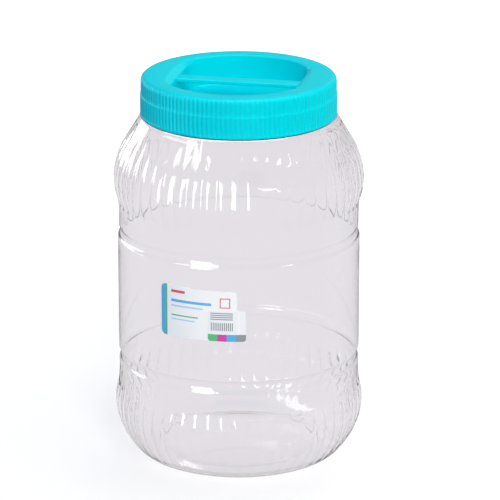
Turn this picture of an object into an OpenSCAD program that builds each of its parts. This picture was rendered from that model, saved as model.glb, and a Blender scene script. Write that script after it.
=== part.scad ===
// Food storage jar with a screw lid: a ribbed clear jar, a lid with a sunk grip bar, a seal and two stickers.
// Millimetres, +Z up, origin on the axis at the level that the jar stands on, stickers on the -Y side.

/* [Jar body] */
// Diameter of the smooth panel that carries the stickers
panel_d = 142.4; // [120:0.2:170]
// Height of the panel, from the middle of one waist groove to the other
panel_h = 76; // [50:1:110]
// Height of the lower waist groove above the ground
lower_waist_z = 61; // [52:0.5:75]
// Depth of the two waist grooves
waist_depth = 1.6; // [0.8:0.1:2.4]
// Radius of the waist grooves' round section
waist_r = 5; // [3.5:0.1:7]
// Step from the panel in to the plain band under the lower waist
lower_band_step = 0.2; // [0:0.1:0.6]
// Step from the panel in to the plain band over the upper waist
upper_band_step = 0.7; // [0.2:0.1:1]
// Wall of the blown jar
wall = 0.8; // [0.5:0.05:1.2]

/* [Jar base] */
// Height of the widest ring of the base above the ground
base_bulge_z = 31.5; // [28:0.5:36]
// How far the base swells past the panel, between the ribs
base_swell = 0.7; // [0.3:0.1:1.2]
// Radius of the bowl's section
bowl_r = 42; // [38:0.5:46]
// Radius of the heel that turns the bowl under to the foot
heel_r = 12; // [9:0.5:14]
// Width of the flat ring that the jar stands on
foot_w = 2.4; // [1.5:0.1:4]
// Rise of the sloped step inside the foot
push_up_step = 3; // [2:0.2:4]
// Further rise of the domed middle of the base
push_up_dome = 4; // [2:0.2:6]

/* [Jar shoulder] */
// Height of the widest ring of the shoulder above the upper waist
shoulder_rise = 30.7; // [26:0.5:36]
// How far the shoulder swells past the panel, between the ribs
shoulder_swell = 0.8; // [0.3:0.1:1.2]
// Radius of the shoulder's section
shoulder_r = 47; // [44:0.5:52]
// Angle at which the shoulder runs on straight towards the neck
shoulder_angle = 28.8; // [26:0.2:32]
// Height of the neck's ledge above the widest ring of the shoulder
ledge_rise = 37.9; // [34:0.5:40]

/* [Jar ribs] */
// Number of ribs round the jar, on the base and on the shoulder
rib_count = 52; // [44:4:60]
// Height of the ribs over the surface between them
rib_relief = 1.5; // [0.8:0.1:2]
// Width of the groove between two ribs where the jar is widest
rib_groove = 2; // [1:0.1:3]
// Radius of the base ribs' backs, along the rib
base_rib_r = 38; // [35:0.5:41]
// Radius of the shoulder ribs' backs, along the rib
shoulder_rib_r = 46; // [43:0.5:49]

/* [Neck] */
// Outer diameter of the neck, without its thread
neck_d = 106.4; // [100:0.2:110]
// Height of the neck above its ledge
neck_h = 21.1; // [18:0.1:24]
// Wall of the neck
neck_wall = 1.5; // [1:0.1:2.5]

/* [Lid] */
// Room between the neck and the lid's skirt, where the thread runs
thread_room = 2.4; // [2:0.1:3]
// Wall of the lid's skirt
skirt_wall = 1.9; // [1.4:0.1:2.2]
// Thickness of the lid's flat top and of the recess
lid_wall = 1.6; // [1.2:0.1:2]
// Radius of the lid's rounded top edge
lid_edge_r = 3; // [1.9:0.1:4]
// Gap between the lid's lower rim and the neck's ledge
rim_gap = 0.7; // [0.5:0.1:2]
// Turn of the screwed-on lid about the jar's axis
lid_turn = -12; // [-45:1:45]

/* [Lid recess] */
// Gap between the recess's round wall and the inside of the neck
recess_gap = 5.1; // [3:0.1:7]
// Depth of the recess
recess_depth = 18; // [15:0.5:19]
// Width of the recess at the top, along the grip bar
recess_w = 79.6; // [77:0.2:82]
// Width of the recess below its sloped sides, along the grip bar
recess_floor_w = 72.2; // [70:0.2:74]

/* [Grip bar] */
// Width of the grip bar
bar_w = 9; // [7:0.5:12]
// Thickness of the grip bar
bar_t = 2.5; // [2:0.1:4]
// Depth of the bar's top under the lid's top
bar_drop = 3; // [2.5:0.1:5]
// Width of the tongue at each end of the bar
tongue_w = 6; // [4:0.5:6.5]
// Length of the tongue at each end of the bar
tongue_l = 1.5; // [1:0.1:2]
// Play of the tongue in its socket
tongue_play = 0.1; // [0.05:0.05:0.3]

/* [Seal ring] */
// Thickness of the seal between the lid and the neck's rim
seal_t = 1.2; // [0.8:0.1:2]
// How far the seal reaches past the neck's wall on each side
seal_lap = 0.8; // [0.4:0.1:1.2]

/* [Stickers] */
// Thickness of the stickers
sticker_t = 0.15; // [0.1:0.01:0.25]
// Thickness of the glue under each sticker, left as a gap
glue_t = 0.08; // [0.05:0.01:0.12]
// Width of the front label, round the jar
label_w = 47; // [30:1:60]
// Height of the front label
label_h = 31; // [20:1:45]
// Height of the front label's lower edge above the lower waist
label_rise = 29; // [8:0.5:36]
// Direction of the front label's middle, from the front towards the left
label_angle = 19.5; // [0:0.5:40]
// Width of the information sticker, round the jar
info_w = 22; // [12:1:30]
// Height of the information sticker
info_h = 18.5; // [10:0.5:25]
// How far the information sticker reaches past the front label's right edge
info_past = 5; // [0:0.5:8]
// Height of the information sticker's lower edge above the front label's
info_rise = 0; // [0:0.5:8]

/* [Hidden] */
$fn = 96;
// How far a cutting shape runs past the face that it opens
past = 1;

panel_r = panel_d / 2;
upper_waist_z = lower_waist_z + panel_h;
shoulder_z = upper_waist_z + shoulder_rise;
ledge_z = shoulder_z + ledge_rise;
neck_r = neck_d / 2;
rim_z = ledge_z + neck_h;

// The bowl's circle, and the heel's circle that touches it inside and rolls down to the ground
bowl_c = panel_r + base_swell - bowl_r;
heel_c = bowl_c + sqrt(pow(bowl_r - heel_r, 2) - pow(base_bulge_z - heel_r, 2));
heel_angle = atan2(base_bulge_z - heel_r, heel_c - bowl_c);
foot_inner_r = heel_c - foot_w;
push_up_r = foot_inner_r - push_up_step;
dome_r = (pow(push_up_r, 2) + pow(push_up_dome, 2)) / (2 * push_up_dome);

shoulder_c = panel_r + shoulder_swell - shoulder_r;
widest_r = panel_r + shoulder_swell + rib_relief;
// Share of the back's radius that a rib reaches up and down, so that both ends run into the wall
rib_reach = 0.75;
rib_angle = 360 / rib_count - rib_groove / widest_r * 180 / PI;

// The lid hangs on the rim: seal on the rim, lid's top on the seal, skirt down to the gap over the ledge
lid_r = neck_r + thread_room + skirt_wall;
recess_r = neck_r - neck_wall - recess_gap - lid_wall;
deck_under_z = rim_z + seal_t;
lid_top_z = deck_under_z + lid_wall;
lid_rim_z = ledge_z + rim_gap;
recess_floor_z = lid_top_z - recess_depth;
bar_top_z = lid_top_z - bar_drop;
bar_l = recess_floor_w + 2 * tongue_l;
socket_l = tongue_l + tongue_play;
socket_w = tongue_w + 2 * tongue_play;

label_z = lower_waist_z + label_rise;
info_angle = label_angle - (label_w / 2 + info_past - info_w / 2) / panel_r * 180 / PI;

// One half of the jar's section, drawn in by inset for the surface inside the wall
module jar_section(inset, neck_inset) {
    intersection() {
        square([2 * panel_r, rim_z + past]);
        difference() {
            union() {
                bowl_section(inset);
                translate([0, base_bulge_z])
                    square([panel_r - lower_band_step - inset, lower_waist_z - base_bulge_z]);
                translate([0, lower_waist_z])
                    square([panel_r - inset, panel_h]);
                translate([0, upper_waist_z])
                    square([panel_r - upper_band_step - inset, shoulder_rise]);
                shoulder_section(inset);
                translate([0, shoulder_z])
                    square([neck_r - neck_inset, rim_z - shoulder_z + (inset > 0 ? past : 0)]);
            }
            for (z = [lower_waist_z, upper_waist_z])
                translate([panel_r - waist_depth + waist_r, z])
                    circle(waist_r + inset);
            base_hollow_section(inset);
        }
    }
}

// The rounded base: the bowl's arc above, the heel's arc below where the two touch
module bowl_section(inset) {
    touch_z = base_bulge_z - (bowl_r - inset) * sin(heel_angle);
    square([bowl_c, base_bulge_z + bowl_r / 2]);
    intersection() {
        translate([bowl_c, base_bulge_z])
            circle(bowl_r - inset);
        translate([0, touch_z])
            square([2 * panel_r, lower_waist_z - touch_z]);
    }
    intersection() {
        translate([heel_c, heel_r])
            circle(heel_r - inset);
        translate([0, inset])
            square([2 * panel_r, touch_z - inset]);
    }
    translate([0, inset])
        square([heel_c, touch_z - inset]);
}

// The swelling shoulder, and the straight slope from it to the ledge
module shoulder_section(inset) {
    r = shoulder_r - inset;
    top_z = ledge_z - inset;
    slope_r = shoulder_c + r * cos(shoulder_angle);
    slope_z = shoulder_z + r * sin(shoulder_angle);
    intersection() {
        translate([shoulder_c, shoulder_z])
            circle(r);
        translate([0, upper_waist_z])
            square([2 * panel_r, slope_z - upper_waist_z]);
    }
    translate([0, upper_waist_z])
        square([shoulder_c, slope_z - upper_waist_z]);
    polygon([
        [0, slope_z],
        [slope_r, slope_z],
        [slope_r - (top_z - slope_z) * tan(shoulder_angle), top_z],
        [0, top_z]
    ]);
}

// The pushed-up base: a sloped step inside the foot and a dome over it, raised by inset for the inside
module base_hollow_section(inset) {
    step_top = push_up_step + inset;
    polygon([
        [0, -past],
        [foot_inner_r + past + inset, -past],
        [push_up_r + inset, step_top],
        [0, step_top]
    ]);
    intersection() {
        translate([0, step_top + push_up_dome - dome_r])
            circle(dome_r);
        translate([0, step_top])
            square([push_up_r, push_up_dome]);
    }
}

// One rib: a crescent over the wall with its back on an arc, turned through the rib's share of the circle
module rib(middle_z, back_r, crest_r) {
    half_h = rib_reach * back_r;
    rotate([0, 0, -rib_angle / 2])
        rotate_extrude(angle = rib_angle)
            intersection() {
                translate([crest_r - back_r, middle_z])
                    circle(back_r);
                translate([neck_r - neck_wall - wall, middle_z - half_h])
                    square([panel_r, 2 * half_h]);
            }
}

// A ring of ribs, the first of them on the +X side
module rib_ring(middle_z, back_r, crest_r) {
    for (i = [0 : rib_count - 1])
        rotate([0, 0, i * 360 / rib_count])
            rib(middle_z, back_r, crest_r);
}

module jar() {
    color([0.88, 0.87, 0.90, 0.45])
        difference() {
            union() {
                rotate_extrude()
                    jar_section(0, 0);
                rib_ring(base_bulge_z, base_rib_r, panel_r + base_swell + rib_relief);
                rib_ring(shoulder_z, shoulder_rib_r, widest_r);
            }
            rotate_extrude()
                jar_section(wall, neck_wall);
        }
}

// The space of the lid's recess, with walls moved out by grow, from its floor to a given height
module recess_space(grow, top_z) {
    floor_z = recess_floor_z - grow;
    half_top = recess_w / 2 + grow;
    half_floor = recess_floor_w / 2 + grow;
    slope_z = bar_top_z - grow;
    intersection() {
        translate([0, 0, floor_z])
            cylinder(r = recess_r + grow, h = top_z - floor_z);
        rotate([90, 0, 0])
            translate([0, 0, -recess_r - grow - past])
                linear_extrude(2 * (recess_r + grow + past))
                    polygon([
                        [-half_floor, floor_z],
                        [half_floor, floor_z],
                        [half_floor, slope_z],
                        [half_top, lid_top_z],
                        [half_top, lid_top_z + past],
                        [-half_top, lid_top_z + past],
                        [-half_top, lid_top_z],
                        [-half_floor, slope_z]
                    ]);
    }
}

// The lid's round shell: skirt, top and rounded top edge
module lid_shell() {
    rotate_extrude()
        difference() {
            union() {
                translate([0, lid_rim_z])
                    square([lid_r, lid_top_z - lid_edge_r - lid_rim_z]);
                translate([0, lid_rim_z])
                    square([lid_r - lid_edge_r, lid_top_z - lid_rim_z]);
                translate([lid_r - lid_edge_r, lid_top_z - lid_edge_r])
                    circle(lid_edge_r);
            }
            translate([0, lid_rim_z - past])
                square([lid_r - skirt_wall, deck_under_z - lid_rim_z + past]);
        }
}

// The socket that the bar's tongue drops into, on one side of the recess
module socket_space() {
    translate([recess_floor_w / 2 - past, -socket_w / 2, bar_top_z - bar_t])
        cube([socket_l + past, socket_w, lid_top_z - bar_top_z + bar_t]);
}

// The thicker wall behind the socket
module socket_boss() {
    boss_z = bar_top_z - bar_t - lid_wall;
    translate([recess_floor_w / 2, -socket_w / 2 - lid_wall, boss_z])
        cube([socket_l + lid_wall, socket_w + 2 * lid_wall, deck_under_z - boss_z]);
}

module lid() {
    color([0.05, 0.80, 0.86])
        rotate([0, 0, lid_turn])
            difference() {
                union() {
                    lid_shell();
                    recess_space(lid_wall, deck_under_z + lid_wall / 2);
                    for (side = [0, 180])
                        rotate([0, 0, side])
                            socket_boss();
                }
                recess_space(0, lid_top_z + past);
                for (side = [0, 180])
                    rotate([0, 0, side])
                        socket_space();
            }
}

module grip_bar() {
    color([0.10, 0.82, 0.87])
        rotate([0, 0, lid_turn])
            translate([0, 0, bar_top_z - bar_t]) {
                translate([-recess_floor_w / 2, -bar_w / 2, 0])
                    cube([recess_floor_w, bar_w, bar_t]);
                translate([-bar_l / 2, -tongue_w / 2, 0])
                    cube([bar_l, tongue_w, bar_t]);
            }
}

module seal_ring() {
    color([0.95, 0.95, 0.93])
        translate([0, 0, rim_z])
            difference() {
                cylinder(r = neck_r + seal_lap, h = seal_t);
                translate([0, 0, -past])
                    cylinder(r = neck_r - neck_wall - seal_lap, h = seal_t + 2 * past);
            }
}

// A sticker wrapped round the panel: its middle turned left from the front, its layer over the panel
module sticker(w, h, low_z, turn, layer) {
    inner_r = panel_r + glue_t + layer * (sticker_t + glue_t);
    angle = w / inner_r * 180 / PI;
    rotate([0, 0, -90 - turn - angle / 2])
        rotate_extrude(angle = angle)
            translate([inner_r, low_z])
                square([sticker_t, h]);
}

module front_label() {
    color([0.97, 0.98, 0.99])
        sticker(label_w, label_h, label_z, label_angle, 0);
}

module info_sticker() {
    color([0.93, 0.94, 0.95])
        sticker(info_w, info_h, label_z + info_rise, info_angle, 1);
}

jar();
lid();
grip_bar();
seal_ring();
front_label();
info_sticker();
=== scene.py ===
import math

import bmesh
import bpy
from mathutils import Matrix, Vector


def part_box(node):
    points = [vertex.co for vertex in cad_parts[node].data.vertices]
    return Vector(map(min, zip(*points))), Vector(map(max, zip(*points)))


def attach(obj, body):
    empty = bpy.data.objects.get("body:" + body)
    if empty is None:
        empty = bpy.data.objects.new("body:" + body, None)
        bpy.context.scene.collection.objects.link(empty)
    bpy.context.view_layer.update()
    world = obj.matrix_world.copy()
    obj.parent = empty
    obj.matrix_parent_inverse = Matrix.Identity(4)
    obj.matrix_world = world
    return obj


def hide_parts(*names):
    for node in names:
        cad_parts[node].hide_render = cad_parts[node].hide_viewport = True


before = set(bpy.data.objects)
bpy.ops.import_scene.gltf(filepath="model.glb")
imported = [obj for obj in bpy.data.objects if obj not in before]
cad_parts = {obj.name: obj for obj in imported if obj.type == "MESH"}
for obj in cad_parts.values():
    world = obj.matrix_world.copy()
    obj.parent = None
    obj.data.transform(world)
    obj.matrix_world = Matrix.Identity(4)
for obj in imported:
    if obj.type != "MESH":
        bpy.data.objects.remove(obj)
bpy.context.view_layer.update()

# Jar
# One blown piece of clear plastic: a smooth panel between two waist grooves, raised ribs on the base and
# the shoulder, a threaded neck and a pushed-up base. The thin wall follows the ribs on both of its faces.
mm = 0.001
jar_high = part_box("jar")[1]
rim_z = jar_high[2] / mm
neck_r = 53.2
neck_wall = 1.5
wall = 0.8
ledge_wall = 0.35
ledge_z = rim_z - 20.6
ledge_edge_r = 0.3
panel_r = 71.2
lower_waist_z = 61.0
upper_waist_z = 137.0
waist_depth = 1.6
waist_r = 5.0
waist_reach = 7.0
waist_lean = 0.5
upper_band_r = panel_r - 0.7
lower_band_r = panel_r - 0.2
shoulder_bulge = 0.8
base_bulge = 0.7
shoulder_z = 167.7
shoulder_r = 47.0
shoulder_angle = 28.8
base_bulge_z = 31.5
bowl_r = 42.0
heel_r = 12.0
foot_w = 2.4
push_up_step = 3.0
push_up_dome = 4.0
rib_count = 52
rib_columns = 10
rib_relief = jar_high[0] / mm - panel_r - shoulder_bulge
rib_valley = 0.02
rib_depth_share = 0.85
# Lower tip, highest place and upper tip of each zone of ribs, and how fast its two halves fade
rib_spans = [(4.2, 34.0, 51.0, 1.6, 2.6), (146.5, shoulder_z, 201.5, 2.6, 1.6)]
inner_depth_share = 0.82
thread_pitch = 5.0
thread_lead = 2 * thread_pitch
thread_height = 1.3
thread_low_z = ledge_z + 4.0
thread_high_z = rim_z - 2.5
outline_step = 0.25
plain_row_gap = 20.0
ribbed_row_gap = 5.5
thread_row_gap = 1.4
plain_row_turn = 14
waist_row_turn = 6


def straight(start, end):
    """Close points of an outline, from one corner up to the next."""
    count = max(1, round(math.dist(start, end) / outline_step))
    return [
        (start[0] + (end[0] - start[0]) * i / count, start[1] + (end[1] - start[1]) * i / count)
        for i in range(count)
    ]


def arc(middle, radius, first, last):
    """Close points of an outline along an arc, between two angles in degrees."""
    count = max(2, round(abs(math.radians(last - first)) * radius / outline_step))
    turns = [math.radians(first + (last - first) * i / count) for i in range(count)]
    return [(middle[0] + radius * math.cos(t), middle[1] + radius * math.sin(t)) for t in turns]


def softened(points, reach):
    """The outline with its corners rounded, as blown plastic has them. Its two ends stay in place."""
    rounded = []
    for i in range(len(points)):
        n = min(reach, i, len(points) - 1 - i)
        near = points[i - n : i + n + 1]
        rounded.append((sum(p[0] for p in near) / len(near), sum(p[1] for p in near) / len(near)))
    return rounded


def sideways(points, i):
    """The direction across an outline at one of its points, to the left of the way it runs."""
    before = points[max(0, i - 1)]
    after = points[min(len(points) - 1, i + 1)]
    length = math.dist(before, after)
    return (before[1] - after[1]) / length, (after[0] - before[0]) / length


def turn_between(first, second):
    """The angle between two directions."""
    return math.acos(max(-1.0, min(1.0, first[0] * second[0] + first[1] * second[1])))


def ease(value, low, high):
    """0 below low, 1 above high, and a soft change between them."""
    t = min(1.0, max(0.0, (value - low) / (high - low)))
    return t * t * (3 - 2 * t)


def jar_outline():
    """The outer outline between the ribs, from the rim down and in to the middle of the base."""
    shoulder_c = panel_r + shoulder_bulge - shoulder_r
    slope_r = shoulder_c + shoulder_r * math.cos(math.radians(shoulder_angle))
    slope_z = shoulder_z + shoulder_r * math.sin(math.radians(shoulder_angle))
    ledge_r = slope_r - (ledge_z - slope_z) * math.tan(math.radians(shoulder_angle))
    band_angle = math.degrees(math.acos((upper_band_r - shoulder_c) / shoulder_r))
    waist_c = panel_r - waist_depth + waist_r
    waist_turn = {
        r: math.degrees(math.acos((waist_c - r) / waist_r)) for r in (panel_r, upper_band_r, lower_band_r)
    }
    waist_half = {r: waist_r * math.sin(math.radians(turn)) for r, turn in waist_turn.items()}
    bowl_c = panel_r + base_bulge - bowl_r
    heel_c = bowl_c + math.sqrt((bowl_r - heel_r) ** 2 - (base_bulge_z - heel_r) ** 2)
    heel_angle = math.degrees(math.atan2(base_bulge_z - heel_r, heel_c - bowl_c))
    bowl_top = math.degrees(math.acos((lower_band_r - bowl_c) / bowl_r))
    bowl_top_z = base_bulge_z + bowl_r * math.sin(math.radians(bowl_top))
    foot_r = heel_c - foot_w
    push_up_r = foot_r - push_up_step
    dome_r = (push_up_r**2 + push_up_dome**2) / (2 * push_up_dome)
    dome_top = push_up_step + push_up_dome
    dome_edge = math.degrees(math.acos(push_up_r / dome_r))

    points = straight((neck_r, rim_z), (neck_r, ledge_z))
    ledge_c = ledge_r - ledge_edge_r * math.tan(math.radians(45 - shoulder_angle / 2))
    points += straight((neck_r, ledge_z), (ledge_c, ledge_z))
    points += arc((ledge_c, ledge_z - ledge_edge_r), ledge_edge_r, 90, shoulder_angle)
    points += straight(points[-1], (slope_r, slope_z))[1:]
    points += arc((shoulder_c, shoulder_z), shoulder_r, shoulder_angle, -band_angle)
    band_low_z = shoulder_z - shoulder_r * math.sin(math.radians(band_angle))
    points += straight((upper_band_r, band_low_z), (upper_band_r, upper_waist_z + waist_half[upper_band_r]))
    points += arc(
        (waist_c, upper_waist_z), waist_r, 180 - waist_turn[upper_band_r], 180 + waist_turn[panel_r]
    )
    points += straight(
        (panel_r, upper_waist_z - waist_half[panel_r]), (panel_r, lower_waist_z + waist_half[panel_r])
    )
    points += arc(
        (waist_c, lower_waist_z), waist_r, 180 - waist_turn[panel_r], 180 + waist_turn[lower_band_r]
    )
    points += straight((lower_band_r, lower_waist_z - waist_half[lower_band_r]), (lower_band_r, bowl_top_z))
    points += arc((bowl_c, base_bulge_z), bowl_r, bowl_top, -heel_angle)
    points += arc((heel_c, heel_r), heel_r, -heel_angle, -90)
    points += straight((heel_c, 0.0), (foot_r, 0.0))
    points += straight((foot_r, 0.0), (push_up_r, push_up_step))
    points += arc((0.0, dome_top - dome_r), dome_r, dome_edge, 90)
    points.append((0.0, dome_top))
    return points


def waist_distance(z):
    """How far a height is from the middle of the nearer waist."""
    return min(abs(z - lower_waist_z), abs(z - upper_waist_z))


def rib_height(z):
    """Height of a rib's back over the wall, along the rib: highest in its middle and none at its tips."""
    for low, middle, high, low_fade, high_fade in rib_spans:
        if middle < z < high:
            return rib_relief * (1 - ((z - middle) / (high - middle)) ** 2) ** high_fade
        if low < z <= middle:
            return rib_relief * (1 - ((middle - z) / (middle - low)) ** 2) ** low_fade
    return 0.0


def rib_cushion(angle):
    """The round back of the ribs across their width: 1 on a rib's middle and 0 in the valley beside it."""
    across = 2 * ((angle * rib_count / math.tau + 0.5) % 1) - 1
    floor = math.sqrt(rib_valley)
    height = math.sqrt(math.cos(math.pi / 2 * across) ** 2 + rib_valley) - floor
    return height / (math.sqrt(1 + rib_valley) - floor)


def thread_ridge(angle, z, shift):
    """Height of a two-start thread's ridge, as a share of its full height."""
    turn = (z - thread_lead * angle / math.tau) / thread_pitch + shift
    off_ridge = abs(turn % 1 - 0.5) * thread_pitch
    return ease(1.3 - off_ridge, 0.0, 0.7)


def jar_row(point, across, face):
    """One ring of the jar's wall as a function of the angle round its axis."""
    r, z = point
    relief = rib_height(z) if r > neck_r else 0.0
    depth = rib_depth_share if face == "outside" else inner_depth_share
    out = 1 if face == "outside" else -1
    thread = 0.0
    if face == "outside" and r < neck_r + 0.1 and z > ledge_z:
        thread = thread_height * ease(z, thread_low_z, thread_low_z + 2)
        thread *= ease(-z, -thread_high_z, 2 - thread_high_z)

    def place(angle):
        rise = relief * (1 - depth * (1 - rib_cushion(angle)))
        ridge = thread * thread_ridge(angle, z, 0.0) if thread else 0.0
        return r + out * across[0] * rise + ridge, z + out * across[1] * rise

    return place


def jar_rows():
    """The rings of the wall: up the inside from the base's middle, over the rim and down the outside."""
    outline = jar_outline()
    outside = softened(outline, 2)
    inside = []
    for i, point in enumerate(outside):
        left = sideways(outside, i)
        if waist_distance(point[1]) < waist_reach:
            left = (1.0, left[1] * waist_lean)
        depth = wall + (ledge_wall - wall) * ease(point[1], ledge_z - 4, ledge_z - 1)
        depth += (neck_wall - depth) * ease(point[1], ledge_z + 0.5, ledge_z + 2.5)
        inside.append((point[0] - left[0] * depth, point[1] - left[1] * depth))
    inside[-1] = (0.0, outside[-1][1] + wall)
    rim = straight(inside[0], outside[0])
    loop = softened(inside[::-1] + rim[1:] + outside, 1)
    faces = ["inside"] * (len(inside) + len(rim) // 2)
    faces += ["outside"] * (len(loop) - len(faces))
    rows = []
    kept = 0
    was_straight = True
    for i in range(1, len(loop) - 1):
        left = sideways(loop, i)
        is_straight = turn_between(sideways(loop, i - 1), sideways(loop, i + 1)) < math.radians(0.2)
        turned = turn_between(left, sideways(loop, kept))
        ribbed = loop[i][0] > neck_r and any(span[0] - 2 < loop[i][1] < span[2] + 2 for span in rib_spans)
        on_thread = faces[i] == "outside" and loop[i][1] > ledge_z + 1
        waisted = waist_distance(loop[i][1]) < waist_reach - 1
        spacing = thread_row_gap if on_thread else ribbed_row_gap if ribbed else plain_row_gap
        most_turn = math.radians(waist_row_turn if waisted and faces[i] == "outside" else plain_row_turn)
        far = math.dist(loop[i], loop[kept]) > spacing
        if far or turned > most_turn or is_straight != was_straight:
            rows.append(jar_row(loop[i], left, faces[i]))
            kept = i
        was_straight = is_straight
    return loop[0][1], rows, loop[-1][1]


def turned_shell(name, first_z, rows, last_z, columns, turn=0.0):
    """A closed shell of rings between two points on the axis. A row gives radius and height by angle."""
    points = [(0.0, 0.0, first_z * mm)]
    for row in rows:
        for i in range(columns):
            angle = math.tau * i / columns
            r, z = row(angle)
            points.append((r * math.cos(angle + turn) * mm, r * math.sin(angle + turn) * mm, z * mm))
    points.append((0.0, 0.0, last_z * mm))
    faces = []
    for i in range(columns):
        after = (i + 1) % columns
        faces.append((0, 1 + after, 1 + i))
        for ring in range(len(rows) - 1):
            low = 1 + ring * columns
            high = low + columns
            faces.append((low + i, low + after, high + after, high + i))
        low = 1 + (len(rows) - 1) * columns
        faces.append((low + i, low + after, len(points) - 1))
    mesh = bpy.data.meshes.new(name)
    mesh.from_pydata(points, [], faces)
    mesh.validate()
    tidy = bmesh.new()
    tidy.from_mesh(mesh)
    bmesh.ops.recalc_face_normals(tidy, faces=tidy.faces)
    tidy.to_mesh(mesh)
    tidy.free()
    mesh.shade_smooth()
    shell = bpy.data.objects.new(name, mesh)
    bpy.context.collection.objects.link(shell)
    return shell


def new_material(name, piece):
    """A material for a piece, with its nodes, links and plain shader."""
    material = bpy.data.materials.new(name)
    material.use_nodes = True
    piece.data.materials.append(material)
    tree = material.node_tree
    return tree.nodes, tree.links, tree.nodes["Principled BSDF"]


jar_base_z, jar_rings, jar_foot_z = jar_rows()
jar = turned_shell("clear_jar", jar_base_z, jar_rings, jar_foot_z, rib_count * rib_columns)
nodes, links, shader = new_material("clear_blown_plastic", jar)
shader.inputs["Base Color"].default_value = (0.918, 0.899, 0.925, 1.0)
shader.inputs["IOR"].default_value = 1.57
shader.inputs["Transmission Weight"].default_value = 1.0
# Faint upright streaks where the plastic was stretched while it was blown
place = nodes.new("ShaderNodeTexCoord")
stretch = nodes.new("ShaderNodeMapping")
stretch.inputs["Scale"].default_value = (60.0, 60.0, 6.0)
links.new(place.outputs["Object"], stretch.inputs["Vector"])
streaks = nodes.new("ShaderNodeTexNoise")
streaks.inputs["Scale"].default_value = 1.0
streaks.inputs["Detail"].default_value = 2.0
links.new(stretch.outputs["Vector"], streaks.inputs["Vector"])
haze = nodes.new("ShaderNodeMapRange")
haze.inputs["To Min"].default_value = 0.01
haze.inputs["To Max"].default_value = 0.05
links.new(streaks.outputs["Fac"], haze.inputs["Value"])
links.new(haze.outputs["Result"], shader.inputs["Roughness"])
ripple = nodes.new("ShaderNodeBump")
ripple.inputs["Strength"].default_value = 0.25
ripple.inputs["Distance"].default_value = 0.00005
links.new(streaks.outputs["Fac"], ripple.inputs["Height"])
links.new(ripple.outputs["Normal"], shader.inputs["Normal"])
# Light from the lamps goes through the clear wall
path = nodes.new("ShaderNodeLightPath")
clear = nodes.new("ShaderNodeBsdfTransparent")
clear.inputs["Color"].default_value = (0.90, 0.89, 0.91, 1.0)
through = nodes.new("ShaderNodeMixShader")
links.new(path.outputs["Is Shadow Ray"], through.inputs["Fac"])
links.new(shader.outputs["BSDF"], through.inputs[1])
links.new(clear.outputs["BSDF"], through.inputs[2])
links.new(through.outputs["Shader"], nodes["Material Output"].inputs["Surface"])
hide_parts("jar")
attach(jar, "jar")

# Lid
# One moulded piece of turquoise plastic, screwed on the neck: a skirt with two tiers of fine upright teeth,
# a flat top and a sunk recess with two round and two straight sides, the straight ones sloped at the top.
lid_low, lid_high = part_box("lid")
lid_top_z = lid_high[2] / mm
lid_rim_z = lid_low[2] / mm
lid_r = lid_high[0] / mm
lid_wall = 1.6
skirt_r = lid_r - 1.9
deck_under_z = lid_top_z - lid_wall
lid_edge_r = 3.0
lid_turn = math.radians(-12)
tooth_count = 128
tooth_columns = 8
tooth_depth = 0.55
tier_step = 0.35
tier_z = lid_top_z - 10.4
plain_rim_h = 1.3
recess_r = 45.0
recess_half_w = 39.8
recess_low_half_w = 36.1
recess_slope_h = 3.0
recess_floor_z = lid_top_z - 18.0
recess_lip_r = 0.9
recess_floor_r = 1.6
lid_ridge = 1.3


def ring(r, z):
    """A plain round row."""
    return lambda angle: (r, z)


def toothed(r, z, share):
    """A row across the skirt's teeth, whose valleys have a share of their full depth."""

    def place(angle):
        crest = math.cos(angle * tooth_count / 2) ** 2
        return r - tooth_depth * share * (1 - crest) ** 1.3, z

    return place


def threaded(r, z):
    """A row inside the skirt, with the ridges that run under those of the neck."""
    height = lid_ridge * ease(z, lid_rim_z + 2, lid_rim_z + 4) * ease(-z, 6 - deck_under_z, 8 - deck_under_z)
    return lambda angle: (r - height * thread_ridge(angle + lid_turn, z, 0.5), z)


def recess(grow, z, rise=0.0):
    """A row along the recess's wall, moved out by grow; rise counts the slope from another height."""
    slope = min(1.0, max(0.0, (z + rise - lid_top_z + recess_slope_h) / recess_slope_h))
    half_w = recess_low_half_w + (recess_half_w - recess_low_half_w) * slope + grow

    def place(angle):
        chord = half_w / max(0.2, abs(math.cos(angle)))
        return 1 / (chord**-26 + (recess_r + grow) ** -26) ** (1 / 26), z

    return place


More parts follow.
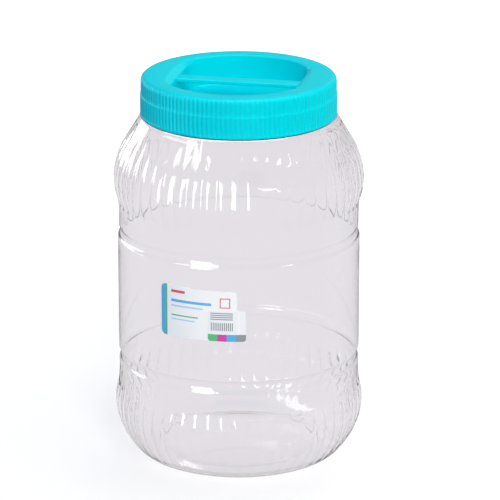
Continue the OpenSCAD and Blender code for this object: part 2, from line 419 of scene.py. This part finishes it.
def lid_rows():
    """The lid's rows: along the recess's floor, up its wall, over the top and back up inside the skirt."""
    quarter = [math.pi / 2 * i / 4 for i in range(5)]
    rows = [recess(-24.0, recess_floor_z), recess(-8.0, recess_floor_z)]
    for t in quarter:
        grow = -recess_floor_r * (1 - math.sin(t))
        rows.append(recess(grow, recess_floor_z + recess_floor_r * (1 - math.cos(t))))
    for drop in (12.0, 7.0, recess_slope_h + 0.6, recess_slope_h, recess_slope_h - 0.5, 1.6):
        rows.append(recess(0.0, lid_top_z - drop))
    for t in quarter:
        lip_z = lid_top_z - recess_lip_r * (1 - math.sin(t))
        rows.append(recess(recess_lip_r * (1 - math.cos(t)), lip_z))
    upper_r = lid_r - tier_step
    rows.append(ring(upper_r - lid_edge_r - 2.0, lid_top_z))
    for i in range(9):
        t = math.pi / 2 * i / 8
        share = ease(t, math.radians(20), math.radians(65))
        r = upper_r - lid_edge_r * (1 - math.sin(t))
        rows.append(toothed(r, lid_top_z - lid_edge_r * (1 - math.cos(t)), share))
    rows.append(toothed(upper_r, tier_z + 2.5, 1.0))
    rows.append(toothed(upper_r, tier_z + 0.25, 1.0))
    rows.append(toothed(upper_r + tier_step * 0.4, tier_z + 0.05, 0.9))
    rows.append(toothed(lid_r - 0.05, tier_z - 0.25, 0.9))
    rows.append(toothed(lid_r, tier_z - 0.7, 1.0))
    rows.append(toothed(lid_r, (tier_z + lid_rim_z) / 2, 1.0))
    rows.append(toothed(lid_r, lid_rim_z + plain_rim_h + 0.8, 1.0))
    rows.append(toothed(lid_r, lid_rim_z + plain_rim_h + 0.3, 0.5))
    rows.append(ring(lid_r, lid_rim_z + plain_rim_h))
    rows.append(ring(lid_r, lid_rim_z + 0.4))
    rows.append(ring(lid_r - 0.12, lid_rim_z + 0.12))
    rows.append(ring(lid_r - 0.4, lid_rim_z))
    rows.append(ring(skirt_r + 0.4, lid_rim_z))
    rows.append(ring(skirt_r, lid_rim_z + 0.4))
    skirt_h = deck_under_z - lid_rim_z
    rows += [threaded(skirt_r, lid_rim_z + skirt_h * (0.05 + 0.9 * i / 24)) for i in range(25)]
    rows.append(ring(skirt_r - 0.2, deck_under_z - 0.2))
    rows.append(ring(skirt_r - 0.8, deck_under_z))
    rows.append(recess(lid_wall + 0.8, deck_under_z, lid_wall))
    rows.append(recess(lid_wall, deck_under_z - 0.8, lid_wall))
    for drop in (recess_slope_h + lid_wall, 12.0):
        rows.append(recess(lid_wall, lid_top_z - drop))
    for t in reversed(quarter):
        r = recess_floor_r + lid_wall
        under_z = recess_floor_z - lid_wall + r * (1 - math.cos(t))
        rows.append(recess(lid_wall - r * (1 - math.sin(t)), under_z))
    rows.append(recess(-8.0, recess_floor_z - lid_wall))
    return rows


def moulded_grain():
    """The faint unevenness of moulded plastic: a shade, a roughness and the height of a fine grain."""
    group = bpy.data.node_groups.new("moulded_grain", "ShaderNodeTree")
    grain_size = group.interface.new_socket("Grain size", in_out="INPUT", socket_type="NodeSocketFloat")
    grain_size.default_value = 900.0
    group.interface.new_socket("Shade", in_out="OUTPUT", socket_type="NodeSocketFloat")
    group.interface.new_socket("Roughness", in_out="OUTPUT", socket_type="NodeSocketFloat")
    group.interface.new_socket("Grain", in_out="OUTPUT", socket_type="NodeSocketFloat")
    way_in = group.nodes.new("NodeGroupInput")
    way_out = group.nodes.new("NodeGroupOutput")
    where = group.nodes.new("ShaderNodeTexCoord")
    clouds = group.nodes.new("ShaderNodeTexNoise")
    clouds.inputs["Scale"].default_value = 45.0
    clouds.inputs["Detail"].default_value = 3.0
    fine = group.nodes.new("ShaderNodeTexNoise")
    fine.inputs["Detail"].default_value = 2.0
    group.links.new(where.outputs["Object"], clouds.inputs["Vector"])
    group.links.new(where.outputs["Object"], fine.inputs["Vector"])
    group.links.new(way_in.outputs["Grain size"], fine.inputs["Scale"])
    polish = group.nodes.new("ShaderNodeMapRange")
    polish.inputs["To Min"].default_value = 0.27
    polish.inputs["To Max"].default_value = 0.38
    group.links.new(clouds.outputs["Fac"], polish.inputs["Value"])
    group.links.new(clouds.outputs["Fac"], way_out.inputs["Shade"])
    group.links.new(polish.outputs["Result"], way_out.inputs["Roughness"])
    group.links.new(fine.outputs["Fac"], way_out.inputs["Grain"])
    return group


def moulded_plastic(piece, name, deep, pale, grain_size):
    """Gives a piece a moulded plastic whose colour drifts a little between a deep and a pale shade."""
    nodes, links, shader = new_material(name, piece)
    grain = nodes.new("ShaderNodeGroup")
    grain.node_tree = bpy.data.node_groups.get("moulded_grain") or moulded_grain()
    grain.inputs["Grain size"].default_value = grain_size
    drift = nodes.new("ShaderNodeMix")
    drift.data_type = "RGBA"
    drift.inputs["A"].default_value = deep
    drift.inputs["B"].default_value = pale
    links.new(grain.outputs["Shade"], drift.inputs["Factor"])
    links.new(drift.outputs["Result"], shader.inputs["Base Color"])
    links.new(grain.outputs["Roughness"], shader.inputs["Roughness"])
    skin = nodes.new("ShaderNodeBump")
    skin.inputs["Strength"].default_value = 0.15
    skin.inputs["Distance"].default_value = 0.0001
    links.new(grain.outputs["Grain"], skin.inputs["Height"])
    links.new(skin.outputs["Normal"], shader.inputs["Normal"])
    shader.inputs["Specular IOR Level"].default_value = 0.16
    shader.inputs["Specular Tint"].default_value = (0.25, 1.0, 1.0, 1.0)


lid = turned_shell(
    "screw_lid", recess_floor_z, lid_rows(), recess_floor_z - lid_wall, tooth_count * tooth_columns, lid_turn
)
moulded_plastic(lid, "turquoise_lid_plastic", (0.0, 0.60, 0.69, 1.0), (0.0, 0.65, 0.74, 1.0), 900.0)
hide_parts("lid")
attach(lid, "lid")

# Grip bar
# A flat turquoise bar across the recess, by which the hand turns the lid. It is moulded by itself, and
# a tongue at each end drops into the recess's straight wall. Fingers reach under it from both sides.
bar_low, bar_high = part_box("grip_bar")
bar_top_z = bar_high[2] / mm
bar_under_z = bar_low[2] / mm
bar_half_l = recess_low_half_w
bar_half_w = 4.5
tongue_half_w = 3.0
tongue_l = 1.5
bar_edge_r = 0.7


def grip_bar_mesh():
    """The bar's plan with its two tongues, drawn up to its thickness, with rounded edges."""
    tip = bar_half_l + tongue_l
    half = [
        (bar_half_l, -bar_half_w),
        (bar_half_l, -tongue_half_w),
        (tip, -tongue_half_w),
        (tip, tongue_half_w),
        (bar_half_l, tongue_half_w),
        (bar_half_l, bar_half_w),
    ]
    plan = half + [(-x, -y) for x, y in half]
    shape = bmesh.new()
    corners = [shape.verts.new((x * mm, y * mm, bar_under_z * mm)) for x, y in plan]
    floor = shape.faces.new(corners)
    raised = bmesh.ops.extrude_face_region(shape, geom=[floor])
    top = [v for v in raised["geom"] if isinstance(v, bmesh.types.BMVert)]
    bmesh.ops.translate(shape, verts=top, vec=(0.0, 0.0, (bar_top_z - bar_under_z) * mm))
    bmesh.ops.recalc_face_normals(shape, faces=shape.faces)
    long_edges = [e for e in shape.edges if abs(e.verts[0].co.x - e.verts[1].co.x) > bar_half_l * mm]
    bmesh.ops.bevel(shape, geom=long_edges, offset=bar_edge_r * mm, segments=4, profile=0.5, affect="EDGES")
    bmesh.ops.rotate(shape, verts=shape.verts, matrix=Matrix.Rotation(lid_turn, 3, "Z"))
    mesh = bpy.data.meshes.new("grip_bar_piece")
    shape.to_mesh(mesh)
    shape.free()
    return mesh


bar = bpy.data.objects.new("grip_bar_piece", grip_bar_mesh())
bpy.context.collection.objects.link(bar)
moulded_plastic(bar, "turquoise_bar_plastic", (0.0, 0.62, 0.71, 1.0), (0.0, 0.67, 0.76, 1.0), 700.0)
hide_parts("grip_bar")
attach(bar, "lid")

# Seal ring
# A soft pale ring, cut from foamed sheet and laid in the lid, which the neck's rim presses into.
# It lies under the lid's top and shows only when the lid is off.
seal_low, seal_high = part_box("seal_ring")
seal_outer_r = seal_high[0] / mm
seal_inner_r = neck_r - neck_wall - 0.8
seal_edge = 0.25


def seal_mesh():
    """The ring's soft-edged section, turned about the axis."""
    low_z = seal_low[2] / mm
    high_z = seal_high[2] / mm
    section = [
        (seal_inner_r, low_z + seal_edge),
        (seal_inner_r, high_z - seal_edge),
        (seal_inner_r + seal_edge, high_z),
        (seal_outer_r - seal_edge, high_z),
        (seal_outer_r, high_z - seal_edge),
        (seal_outer_r, low_z + seal_edge),
        (seal_outer_r - seal_edge, low_z),
        (seal_inner_r + seal_edge, low_z),
    ]
    columns = 192
    points = []
    faces = []
    for i in range(columns):
        angle = math.tau * i / columns
        points += [(r * math.cos(angle) * mm, r * math.sin(angle) * mm, z * mm) for r, z in section]
        here = i * len(section)
        there = (i + 1) % columns * len(section)
        for k in range(len(section)):
            after = (k + 1) % len(section)
            faces.append((here + k, here + after, there + after, there + k))
    mesh = bpy.data.meshes.new("seal_ring_piece")
    mesh.from_pydata(points, [], faces)
    mesh.shade_smooth()
    return mesh


seal = bpy.data.objects.new("seal_ring_piece", seal_mesh())
bpy.context.collection.objects.link(seal)
nodes, links, shader = new_material("pale_foam", seal)
shader.inputs["Roughness"].default_value = 0.8
cells = nodes.new("ShaderNodeTexVoronoi")
cells.inputs["Scale"].default_value = 2500.0
where = nodes.new("ShaderNodeTexCoord")
links.new(where.outputs["Object"], cells.inputs["Vector"])
foam = nodes.new("ShaderNodeMix")
foam.data_type = "RGBA"
foam.inputs["A"].default_value = (0.72, 0.72, 0.70, 1.0)
foam.inputs["B"].default_value = (0.86, 0.86, 0.84, 1.0)
links.new(cells.outputs["Distance"], foam.inputs["Factor"])
links.new(foam.outputs["Result"], shader.inputs["Base Color"])
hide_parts("seal_ring")
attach(seal, "seal")

# Front label
# A white film sticker on the panel's front left, with rounded corners and a higher left part, printed with
# plain coloured bars and rules. It is smoothed on by hand and follows the panel's curve.
label_w = 47.0
label_h = 31.0
label_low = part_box("front_label")[0]
label_low_z = label_low[2] / mm
label_angle = -90 - 19.5
label_corner_r = 3.0
label_tab_w = 19.0
label_tab_drop = 1.0
label_r = panel_r + 0.08
sticker_t = 0.15


def label_top(s):
    """Height of the label's upper edge over its lower edge: higher on the left, with a soft step down."""
    return label_h - label_tab_drop * ease(s, label_tab_w - 1.2, label_tab_w + 1.2)


def corner_cut(s, width, radius):
    """How far a rounded corner takes the edge in, at a place along the sticker."""
    end = min(s, width - s)
    if end >= radius:
        return 0.0
    return radius - math.sqrt(max(0.0, radius**2 - (radius - end) ** 2))


def sticker(name, width, low_z, middle_angle, corner_r, top_at, radius_at):
    """A thin curved sheet with rounded corners. Its outer face has coordinates for its print, 0 to 1."""
    ends = [corner_r * (1 - math.cos(math.pi / 2 * i / 6)) for i in range(7)]
    count = 48
    spread = [corner_r + (width - 2 * corner_r) * i / count for i in range(1, count)]
    columns = ends + spread + [width - e for e in reversed(ends)]
    levels = 12
    tallest = max(top_at(s) for s in columns)
    points = []
    prints = []
    for layer in (0.0, sticker_t):
        for s in columns:
            cut = corner_cut(s, width, corner_r)
            for k in range(levels + 1):
                rise = cut + (top_at(s) - 2 * cut) * k / levels
                r = radius_at(s) + layer
                angle = math.radians(middle_angle) + (s - width / 2) / panel_r
                points.append((r * math.cos(angle) * mm, r * math.sin(angle) * mm, (low_z + rise) * mm))
                prints.append((s / width, rise / tallest) if layer else (-1.0, -1.0))
    high = levels + 1
    sheet = len(columns) * high
    faces = []
    for i in range(len(columns) - 1):
        for k in range(levels):
            corner = i * high + k
            under = (corner, corner + 1, corner + high + 1, corner + high)
            faces.append(under)
            faces.append(tuple(sheet + v for v in reversed(under)))
        low = i * high
        top = low + levels
        faces.append((low, low + high, sheet + low + high, sheet + low))
        faces.append((top + high, top, sheet + top, sheet + top + high))
    last = (len(columns) - 1) * high
    for k in range(levels):
        faces.append((k + 1, k, sheet + k, sheet + k + 1))
        faces.append((last + k, last + k + 1, sheet + last + k + 1, sheet + last + k))
    mesh = bpy.data.meshes.new(name)
    mesh.from_pydata(points, [], faces)
    layout = mesh.uv_layers.new(name="print")
    for loop in mesh.loops:
        layout.data[loop.index].uv = prints[loop.vertex_index]
    tidy = bmesh.new()
    tidy.from_mesh(mesh)
    bmesh.ops.recalc_face_normals(tidy, faces=tidy.faces)
    tidy.to_mesh(mesh)
    tidy.free()
    piece = bpy.data.objects.new(name, mesh)
    bpy.context.collection.objects.link(piece)
    return piece


def ink_block():
    """A printed block: a mask that is 1 between two sides and two levels of the print's coordinates."""
    group = bpy.data.node_groups.new("ink_block", "ShaderNodeTree")
    group.interface.new_socket("Print", in_out="INPUT", socket_type="NodeSocketVector")
    for side in ("Left", "Right", "Low", "High"):
        group.interface.new_socket(side, in_out="INPUT", socket_type="NodeSocketFloat")
    group.interface.new_socket("Mask", in_out="OUTPUT", socket_type="NodeSocketFloat")
    way_in = group.nodes.new("NodeGroupInput")
    way_out = group.nodes.new("NodeGroupOutput")
    parts = group.nodes.new("ShaderNodeSeparateXYZ")
    group.links.new(way_in.outputs["Print"], parts.inputs["Vector"])
    mask = None
    for axis, low, high in (("X", "Left", "Right"), ("Y", "Low", "High")):
        place = parts.outputs[axis]
        for first, second in ((place, way_in.outputs[low]), (way_in.outputs[high], place)):
            past = group.nodes.new("ShaderNodeMath")
            past.operation = "GREATER_THAN"
            group.links.new(first, past.inputs[0])
            group.links.new(second, past.inputs[1])
            if mask is None:
                mask = past.outputs["Value"]
                continue
            both = group.nodes.new("ShaderNodeMath")
            both.operation = "MULTIPLY"
            group.links.new(mask, both.inputs[0])
            group.links.new(past.outputs["Value"], both.inputs[1])
            mask = both.outputs["Value"]
    group.links.new(mask, way_out.inputs["Mask"])
    return group


def printed_film(piece, name, ground, width, height, blocks):
    """Gives a sticker a film with a fine grain, printed with blocks: left, right, low, high and ink."""
    nodes, links, shader = new_material(name, piece)
    group = bpy.data.node_groups.get("ink_block") or ink_block()
    layout = nodes.new("ShaderNodeUVMap")
    layout.uv_map = "print"
    grain = nodes.new("ShaderNodeTexNoise")
    grain.inputs["Scale"].default_value = 400.0
    links.new(layout.outputs["UV"], grain.inputs["Vector"])
    film = nodes.new("ShaderNodeMix")
    film.data_type = "RGBA"
    film.inputs["A"].default_value = tuple(c * 0.96 for c in ground) + (1.0,)
    film.inputs["B"].default_value = ground + (1.0,)
    links.new(grain.outputs["Fac"], film.inputs["Factor"])
    colour = film.outputs["Result"]
    for left, right, low, high, ink in blocks:
        block = nodes.new("ShaderNodeGroup")
        block.node_tree = group
        links.new(layout.outputs["UV"], block.inputs["Print"])
        block.inputs["Left"].default_value = left / width
        block.inputs["Right"].default_value = right / width
        block.inputs["Low"].default_value = low / height
        block.inputs["High"].default_value = high / height
        over = nodes.new("ShaderNodeMix")
        over.data_type = "RGBA"
        over.inputs["B"].default_value = ink + (1.0,)
        links.new(block.outputs["Mask"], over.inputs["Factor"])
        links.new(colour, over.inputs["A"])
        colour = over.outputs["Result"]
    links.new(colour, shader.inputs["Base Color"])
    sheen = nodes.new("ShaderNodeMapRange")
    sheen.inputs["To Min"].default_value = 0.30
    sheen.inputs["To Max"].default_value = 0.45
    links.new(grain.outputs["Fac"], sheen.inputs["Value"])
    links.new(sheen.outputs["Result"], shader.inputs["Roughness"])


film_white = (0.96, 0.96, 0.96)
sky_ink = (0.10, 0.45, 0.80)
pale_ink = (0.45, 0.70, 0.90)
leaf_ink = (0.10, 0.50, 0.20)
red_ink = (0.75, 0.08, 0.10)
grey_ink = (0.30, 0.31, 0.33)
magenta_ink = (0.65, 0.06, 0.38)
label = sticker(
    "front_label_piece", label_w, label_low_z, label_angle, label_corner_r, label_top, lambda s: label_r
)
printed_film(
    label,
    "label_film",
    film_white,
    label_w,
    label_h,
    [
        (0.0, 3.2, 0.0, 31.0, sky_ink),
        (3.2, 4.2, 0.0, 31.0, leaf_ink),
        (7.0, 16.0, 26.6, 28.2, red_ink),
        (7.0, 32.0, 21.0, 22.6, sky_ink),
        (7.0, 27.0, 18.2, 19.2, pale_ink),
        (7.0, 24.0, 12.6, 13.4, leaf_ink),
        (7.0, 22.0, 10.2, 11.0, pale_ink),
        (37.0, 43.0, 20.0, 26.0, red_ink),
        (37.6, 42.4, 20.6, 25.4, film_white),
    ],
)
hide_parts("front_label")
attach(label, "jar")

# Information sticker
# A small white sticker over the label's lower right corner, printed with fine rules, upright bars and a row
# of colour patches. Its right end comes down off the label's edge onto the panel.
info_w = 22.0
info_h = 18.5
info_past = 5.0
info_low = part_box("info_sticker")[0]
info_low_z = info_low[2] / mm
info_angle = label_angle + math.degrees((label_w / 2 + info_past - info_w / 2) / panel_r)
info_corner_r = 1.6
layer_step = sticker_t + 0.08


def info_radius(s):
    """Radius of the sticker's inner face: over the label, then down off its edge."""
    return label_r + layer_step * (1 - ease(s, info_w - info_past + 0.2, info_w - info_past + 1.6))


info = sticker(
    "info_sticker_piece", info_w, info_low_z, info_angle, info_corner_r, lambda s: info_h, info_radius
)
info_blocks = [(1.6, 14.5, 16.6 - 1.2 * i, 17.2 - 1.2 * i, grey_ink) for i in range(4)]
info_blocks += [(1.8 + 1.1 * i, 2.4 + 1.1 * i, 6.4, 11.2, grey_ink) for i in range(12)]
patches = (leaf_ink, magenta_ink, sky_ink, grey_ink)
info_blocks += [(info_w / 4 * i, info_w / 4 * (i + 1), 0.0, 4.2, ink) for i, ink in enumerate(patches)]
paper_white = (0.90, 0.91, 0.93)
printed_film(info, "info_film", paper_white, info_w, info_h, info_blocks)
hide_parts("info_sticker")
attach(info, "jar")

# Studio
# A plain white surround, a white floor and soft boxes of light. The camera sees the surround at full white,
# the clear wall shows it as a pale backdrop, and the lid and the stickers are lit by it from all sides.
world = bpy.data.worlds.new("studio")
world.use_nodes = True
bpy.context.scene.world = world
nodes = world.node_tree.nodes
links = world.node_tree.links
white = nodes["Background"]
way = nodes.new("ShaderNodeTexCoord")
parts = nodes.new("ShaderNodeSeparateXYZ")
links.new(way.outputs["Generated"], parts.inputs["Vector"])
# Through the clear wall the surround is palest behind the jar and at eye level
fall_off = nodes.new("ShaderNodeMapRange")
fall_off.interpolation_type = "SMOOTHSTEP"
fall_off.inputs["From Min"].default_value = -0.3
fall_off.inputs["From Max"].default_value = 0.5
fall_off.inputs["To Min"].default_value = 0.80
fall_off.inputs["To Max"].default_value = 1.0
links.new(parts.outputs["Y"], fall_off.inputs["Value"])
upward = nodes.new("ShaderNodeMapRange")
upward.inputs["From Min"].default_value = -1.0
links.new(parts.outputs["Z"], upward.inputs["Value"])
heights = nodes.new("ShaderNodeValToRGB")
links.new(upward.outputs["Result"], heights.inputs["Fac"])
stops = heights.color_ramp.elements
stops[0].position = 0.05
stops[0].color = (0.74, 0.74, 0.74, 1.0)
stops[1].position = 0.60
stops[1].color = (1.0, 1.0, 1.0, 1.0)
for position, shade in ((0.28, 0.98), (0.42, 0.98), (0.85, 0.75)):
    stop = stops.new(position)
    stop.color = (shade, shade, shade, 1.0)
surround = nodes.new("ShaderNodeMath")
surround.operation = "MULTIPLY"
links.new(fall_off.outputs["Result"], surround.inputs[0])
links.new(heights.outputs["Color"], surround.inputs[1])
# In reflections it is dimmer, most of all above, so that the soft boxes stand out in the plastic
path = nodes.new("ShaderNodeLightPath")
mirrored = nodes.new("ShaderNodeMapRange")
mirrored.inputs["From Min"].default_value = -0.05
mirrored.inputs["From Max"].default_value = 0.20
mirrored.inputs["To Min"].default_value = 0.43
mirrored.inputs["To Max"].default_value = 0.06
links.new(parts.outputs["Z"], mirrored.inputs["Value"])
glossy = nodes.new("ShaderNodeMath")
glossy.operation = "MULTIPLY"
links.new(surround.outputs["Value"], glossy.inputs[0])
links.new(mirrored.outputs["Result"], glossy.inputs[1])
through = nodes.new("ShaderNodeMix")
links.new(path.outputs["Is Transmission Ray"], through.inputs["Factor"])
links.new(glossy.outputs["Value"], through.inputs["A"])
links.new(surround.outputs["Value"], through.inputs["B"])
# Matt faces get an even light from it, a little cooler from the left
matt = nodes.new("ShaderNodeMix")
links.new(path.outputs["Is Diffuse Ray"], matt.inputs["Factor"])
links.new(through.outputs["Result"], matt.inputs["A"])
matt.inputs["B"].default_value = 0.49
seen = nodes.new("ShaderNodeMix")
links.new(path.outputs["Is Camera Ray"], seen.inputs["Factor"])
links.new(matt.outputs["Result"], seen.inputs["A"])
seen.inputs["B"].default_value = 1.0
links.new(seen.outputs["Result"], white.inputs["Strength"])
leftward = nodes.new("ShaderNodeMapRange")
leftward.inputs["From Min"].default_value = 0.6
leftward.inputs["From Max"].default_value = -0.8
links.new(parts.outputs["X"], leftward.inputs["Value"])
cool = nodes.new("ShaderNodeMix")
cool.data_type = "RGBA"
links.new(leftward.outputs["Result"], cool.inputs["Factor"])
cool.inputs["A"].default_value = (1.0, 1.0, 1.02, 1.0)
cool.inputs["B"].default_value = (0.80, 0.94, 1.22, 1.0)
tint = nodes.new("ShaderNodeMix")
tint.data_type = "RGBA"
links.new(path.outputs["Is Diffuse Ray"], tint.inputs["Factor"])
tint.inputs["A"].default_value = (1.0, 1.0, 1.0, 1.0)
links.new(cool.outputs["Result"], tint.inputs["B"])
links.new(tint.outputs["Result"], white.inputs["Color"])

# A white sheet on the floor takes the jar's soft shadow. Only the camera sees it, and only from above,
# so the clear wall shows the even surround, and the underside of the jar stays open to view.
floor_half = 3.0
floor_mesh = bpy.data.meshes.new("floor")
floor_corners = [(-1, -1), (1, -1), (1, 1), (-1, 1)]
floor_mesh.from_pydata([(x * floor_half, y * floor_half, 0.0) for x, y in floor_corners], [], [(0, 1, 2, 3)])
floor = bpy.data.objects.new("floor", floor_mesh)
floor.location.z = -0.5 * mm
floor.visible_diffuse = False
floor.visible_glossy = False
floor.visible_transmission = False
floor.visible_shadow = False
bpy.context.collection.objects.link(floor)
nodes, links, shader = new_material("white_floor", floor)
shader.inputs["Base Color"].default_value = (0.5, 0.5, 0.5, 1.0)
shader.inputs["Roughness"].default_value = 1.0
shader.inputs["Specular IOR Level"].default_value = 0.0
shader.inputs["Emission Color"].default_value = (1.0, 1.0, 1.0, 1.0)
where = nodes.new("ShaderNodeTexCoord")
away = nodes.new("ShaderNodeVectorMath")
away.operation = "LENGTH"
links.new(where.outputs["Object"], away.inputs[0])
# The floor's own glow is painted light: weakest beside the jar and stronger further out, making up for the
# lamps' fall-off so that the open floor stays white and only the shade near the jar shows
painted_floor_light = nodes.new("ShaderNodeMapRange")
painted_floor_light.inputs["From Min"].default_value = 0.09
painted_floor_light.inputs["From Max"].default_value = 0.7
painted_floor_light.inputs["To Min"].default_value = 0.40
painted_floor_light.inputs["To Max"].default_value = 0.85
links.new(away.outputs["Value"], painted_floor_light.inputs["Value"])
links.new(painted_floor_light.outputs["Result"], shader.inputs["Emission Strength"])
side = nodes.new("ShaderNodeNewGeometry")
open_side = nodes.new("ShaderNodeBsdfTransparent")
one_sided = nodes.new("ShaderNodeMixShader")
links.new(side.outputs["Backfacing"], one_sided.inputs["Fac"])
links.new(shader.outputs["BSDF"], one_sided.inputs[1])
links.new(open_side.outputs["BSDF"], one_sided.inputs[2])
links.new(one_sided.outputs["Shader"], nodes["Material Output"].inputs["Surface"])


def soft_box(name, place, wide, high, watts, lights_matt=True, shows_in_gloss=True, shows_through=True):
    """A rectangular soft light at a place, facing the jar, with the kinds of surface that it reaches."""
    lamp = bpy.data.lights.new(name, "AREA")
    lamp.shape = "RECTANGLE"
    lamp.size = wide
    lamp.size_y = high
    lamp.energy = watts
    box = bpy.data.objects.new(name, lamp)
    box.location = place
    box.rotation_euler = (jar_middle - Vector(place)).to_track_quat("-Z", "Y").to_euler()
    box.visible_camera = False
    box.visible_diffuse = lights_matt
    box.visible_glossy = shows_in_gloss
    box.visible_transmission = shows_through
    bpy.context.collection.objects.link(box)
    return box


def keep_to_wall(box, test, faces):
    """Lets a light show only in the near wall or only in the far one, by the faces it is seen through."""
    box.data.use_nodes = True
    nodes = box.data.node_tree.nodes
    links = box.data.node_tree.links
    path = nodes.new("ShaderNodeLightPath")
    gate = nodes.new("ShaderNodeMath")
    gate.operation = test
    links.new(path.outputs["Transmission Depth"], gate.inputs[0])
    gate.inputs[1].default_value = faces
    links.new(gate.outputs["Value"], nodes["Emission"].inputs["Strength"])


# The key, side, top and back boxes light the lid and the stickers
jar_middle = Vector((0.0, 0.0, 0.12))
warm_white = (1.0, 0.98, 0.91)
key_box = soft_box("key_box", (0.30, -1.39, 1.15), 0.5, 0.5, 19.0,
                   shows_in_gloss=False, shows_through=False)
key_box.data.color = warm_white
side_box = soft_box("side_box", (1.37, -0.37, 0.45), 0.5, 0.5, 3.5,
                    shows_in_gloss=False, shows_through=False)
side_box.data.color = warm_white
soft_box("top_box", (0.1, 0.1, 1.6), 0.8, 0.8, 4.0, shows_through=False)
soft_box("back_box", (0.35, 1.25, 0.60), 0.8, 0.8, 9.0, shows_in_gloss=False, shows_through=False)
# The other boxes only give the bright shapes that the plastic reflects
soft_box("left_box", (-0.78, -0.12, 0.90), 0.9, 0.28, 3.2, lights_matt=False)
soft_box("rear_box", (-0.86, 0.55, 0.30), 0.9, 0.25, 3.2, lights_matt=False, shows_through=False)
soft_box("ceiling_box", (0.05, -0.5, 1.5), 2.4, 0.9, 45.0, lights_matt=False, shows_through=False)
wall_faces = 1.5
strip_box = soft_box("strip_box", (-0.60, -0.87, 0.27), 0.38, 0.74, 6.0, lights_matt=False)
keep_to_wall(strip_box, "LESS_THAN", wall_faces)
far_box = soft_box("far_box", (-0.57, -0.89, 0.54), 0.5, 0.26, 2.6, lights_matt=False)
keep_to_wall(far_box, "GREATER_THAN", wall_faces)

# The camera stands where the photograph was taken from
lens = bpy.data.cameras.new("camera")
lens.lens = 253.2
lens.sensor_width = 36.0
camera = bpy.data.objects.new("camera", lens)
camera.location = (0.006589, -1.975915, 0.757847)
camera.rotation_euler = (math.radians(72.172), 0.0, 0.0)
bpy.context.collection.objects.link(camera)
bpy.context.scene.camera = camera
bpy.context.scene.view_settings.view_transform = "Standard"
